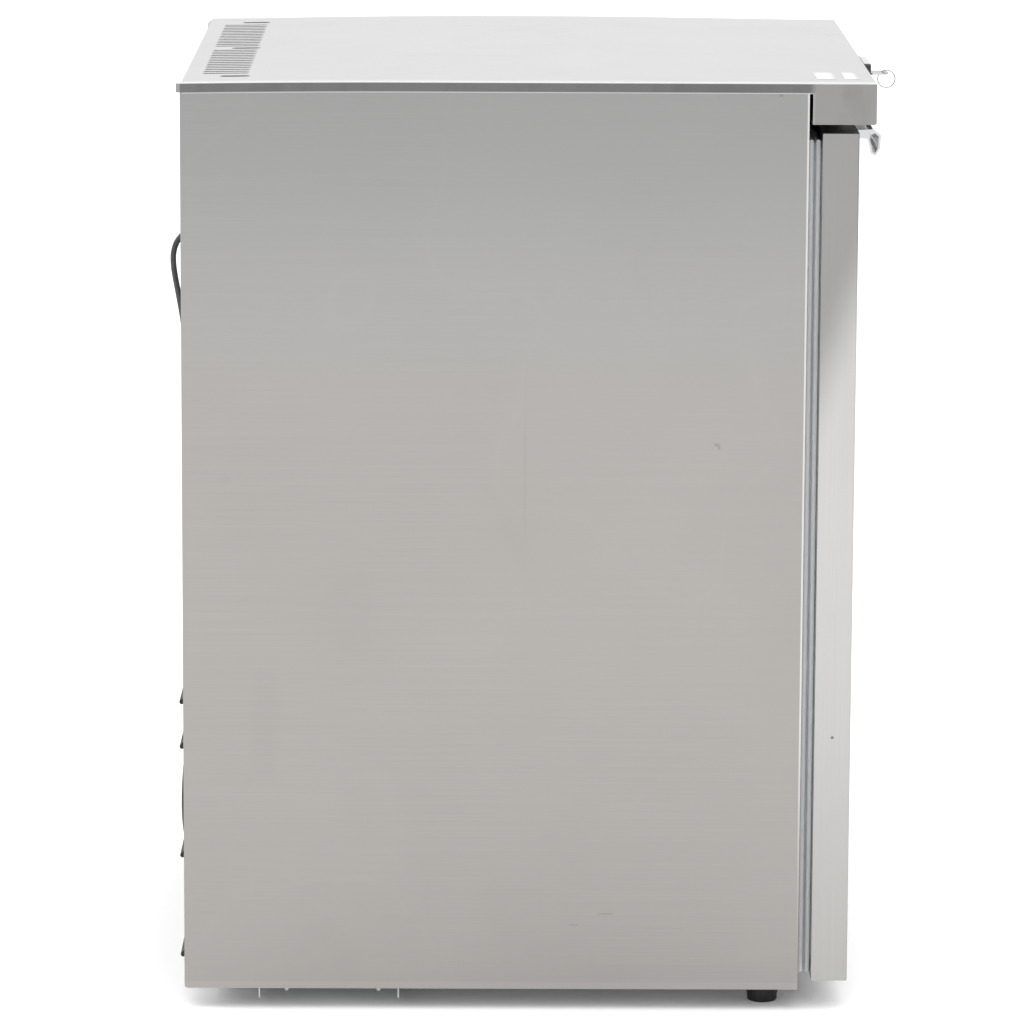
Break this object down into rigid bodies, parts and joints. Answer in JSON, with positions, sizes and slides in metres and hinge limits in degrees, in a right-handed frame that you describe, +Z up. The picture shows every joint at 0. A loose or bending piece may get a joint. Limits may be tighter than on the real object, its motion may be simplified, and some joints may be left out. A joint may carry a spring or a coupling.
{
  "type": "undercounter refrigerator",
  "caption": "Stainless undercounter refrigerator with one hinged door, hook pull, slotted worktop, key lock, controller, wire shelves and rear machine space.",
  "frame": {"origin": "centre of the object's footprint on the surface it stands on, measured without the mains cord", "axes": "+Z up, the door faces -Y, +X to the right of a person facing the door"},
  "size_m": [0.696, 0.6894, 0.84],
  "materials": {
    "stainless": "satin",
    "galvanised": "satin",
    "foam": "matte",
    "liner": "satin",
    "black_plastic": "matte",
    "grey_seal": "matte",
    "black_rubber": "matte",
    "chrome": "polished",
    "zinc": "satin",
    "black_steel": "satin",
    "copper": "satin",
    "aluminium": "satin",
    "nylon": "satin",
    "window": "gloss",
    "board": "matte",
    "button": "satin",
    "lamp": "satin",
    "cord": "satin",
    "plug_pin": "satin"
  },
  "bodies": {
    "cabinet": {"worktop": "stainless", "left_side_panel": "stainless", "right_side_panel": "stainless", "base_pan": "galvanised", "front_frame": "stainless", "back_wall": "galvanised", "insulation": "foam", "inner_liner": "liner", "rear_duct_cover": "galvanised", "intake_grille": "black_plastic", "compressor_plate": "galvanised", "rear_rail": "galvanised", "compressor": "black_steel", "compressor_grommets": "black_rubber", "base_fasteners": "zinc", "start_relay": "black_plastic", "drip_tray": "black_plastic", "drain_tube": "nylon", "condenser": "black_steel", "refrigerant_lines": "copper", "evaporator": "aluminium", "evaporator_cover": "liner", "fan_motor": "zinc", "lamp": "lamp", "shelf_uprights": "aluminium", "shelf_clips": "zinc", "controller_body": "black_plastic", "controller_window": "window", "controller_board": "board", "lock_housing": "chrome", "upper_hinge": "zinc", "lower_hinge": "zinc", "cord_gland": "black_rubber", "power_cord": "cord", "cord_coil": "cord", "power_plug": "cord", "plug_pins": "plug_pin"},
    "door": {"door_skin": "stainless", "door_foam": "foam", "door_liner": "liner", "door_gasket": "grey_seal", "lock_keeper": "black_plastic", "door_handle": "chrome", "handle_screws": "zinc", "hinge_bushes": "nylon"},
    "lock": {"lock_plug": "chrome", "lock_cam": "zinc", "key": "chrome"},
    "ring": {"key_ring": "chrome"},
    "fan": {"fan_blades": "black_plastic"},
    "shelf_low": {"lower_shelf": "chrome"},
    "shelf_high": {"upper_shelf": "chrome"},
    "foot_l": {"left_foot": "black_plastic"},
    "foot_r": {"right_foot": "black_plastic"},
    "roller_l": {"left_roller": "nylon"},
    "roller_r": {"right_roller": "nylon"},
    "set_key": {"button_set": "button"},
    "up_key": {"button_up": "button"},
    "lamp_key": {"button_lamp": "button"},
    "down_key": {"button_down": "button"}
  },
  "joints": [
    {"name": "door_swing", "type": "hinge", "parent": "cabinet", "child": "door", "pos_m": [0.284, -0.258, 0.412], "axis": [0, 0, 1], "range_deg": [0, 110]},
    {"name": "lock_turn", "type": "hinge", "parent": "cabinet", "child": "lock", "pos_m": [0, -0.275, 0.8186], "axis": [0, 1, 0], "range_deg": [0, 90]},
    {"name": "ring_swing", "type": "hinge", "parent": "lock", "child": "ring", "pos_m": [0, -0.3185, 0.8186], "axis": [1, 0, 0], "range_deg": [-20, 25]},
    {"name": "fan_spin", "type": "hinge", "parent": "cabinet", "child": "fan", "pos_m": [0, 0.165, 0.707], "axis": [0, 1, 0], "continuous": true},
    {"name": "lower_shelf_lift", "type": "slide", "parent": "cabinet", "child": "shelf_low", "axis": [0, 0, 1], "range_m": [0, 0.012]},
    {"name": "upper_shelf_lift", "type": "slide", "parent": "cabinet", "child": "shelf_high", "axis": [0, 0, 1], "range_m": [0, 0.012]},
    {"name": "left_foot_turn", "type": "hinge", "parent": "cabinet", "child": "foot_l", "pos_m": [-0.26, -0.2, 0.01], "axis": [0, 0, 1], "continuous": true},
    {"name": "right_foot_turn", "type": "hinge", "parent": "cabinet", "child": "foot_r", "pos_m": [0.26, -0.2, 0.01], "axis": [0, 0, 1], "continuous": true},
    {"name": "left_roller_spin", "type": "hinge", "parent": "cabinet", "child": "roller_l", "pos_m": [-0.18, 0.286, 0.014], "axis": [1, 0, 0], "continuous": true},
    {"name": "right_roller_spin", "type": "hinge", "parent": "cabinet", "child": "roller_r", "pos_m": [0.18, 0.286, 0.014], "axis": [1, 0, 0], "continuous": true},
    {"name": "set_press", "type": "slide", "parent": "cabinet", "child": "set_key", "axis": [0, 1, 0], "range_m": [0, 0.0008], "stiffness_N_per_m": 400, "springref_m": -0.0005},
    {"name": "up_press", "type": "slide", "parent": "cabinet", "child": "up_key", "axis": [0, 1, 0], "range_m": [0, 0.0008], "stiffness_N_per_m": 400, "springref_m": -0.0005},
    {"name": "lamp_press", "type": "slide", "parent": "cabinet", "child": "lamp_key", "axis": [0, 1, 0], "range_m": [0, 0.0008], "stiffness_N_per_m": 400, "springref_m": -0.0005},
    {"name": "down_press", "type": "slide", "parent": "cabinet", "child": "down_key", "axis": [0, 1, 0], "range_m": [0, 0.0008], "stiffness_N_per_m": 400, "springref_m": -0.0005}
  ]
}
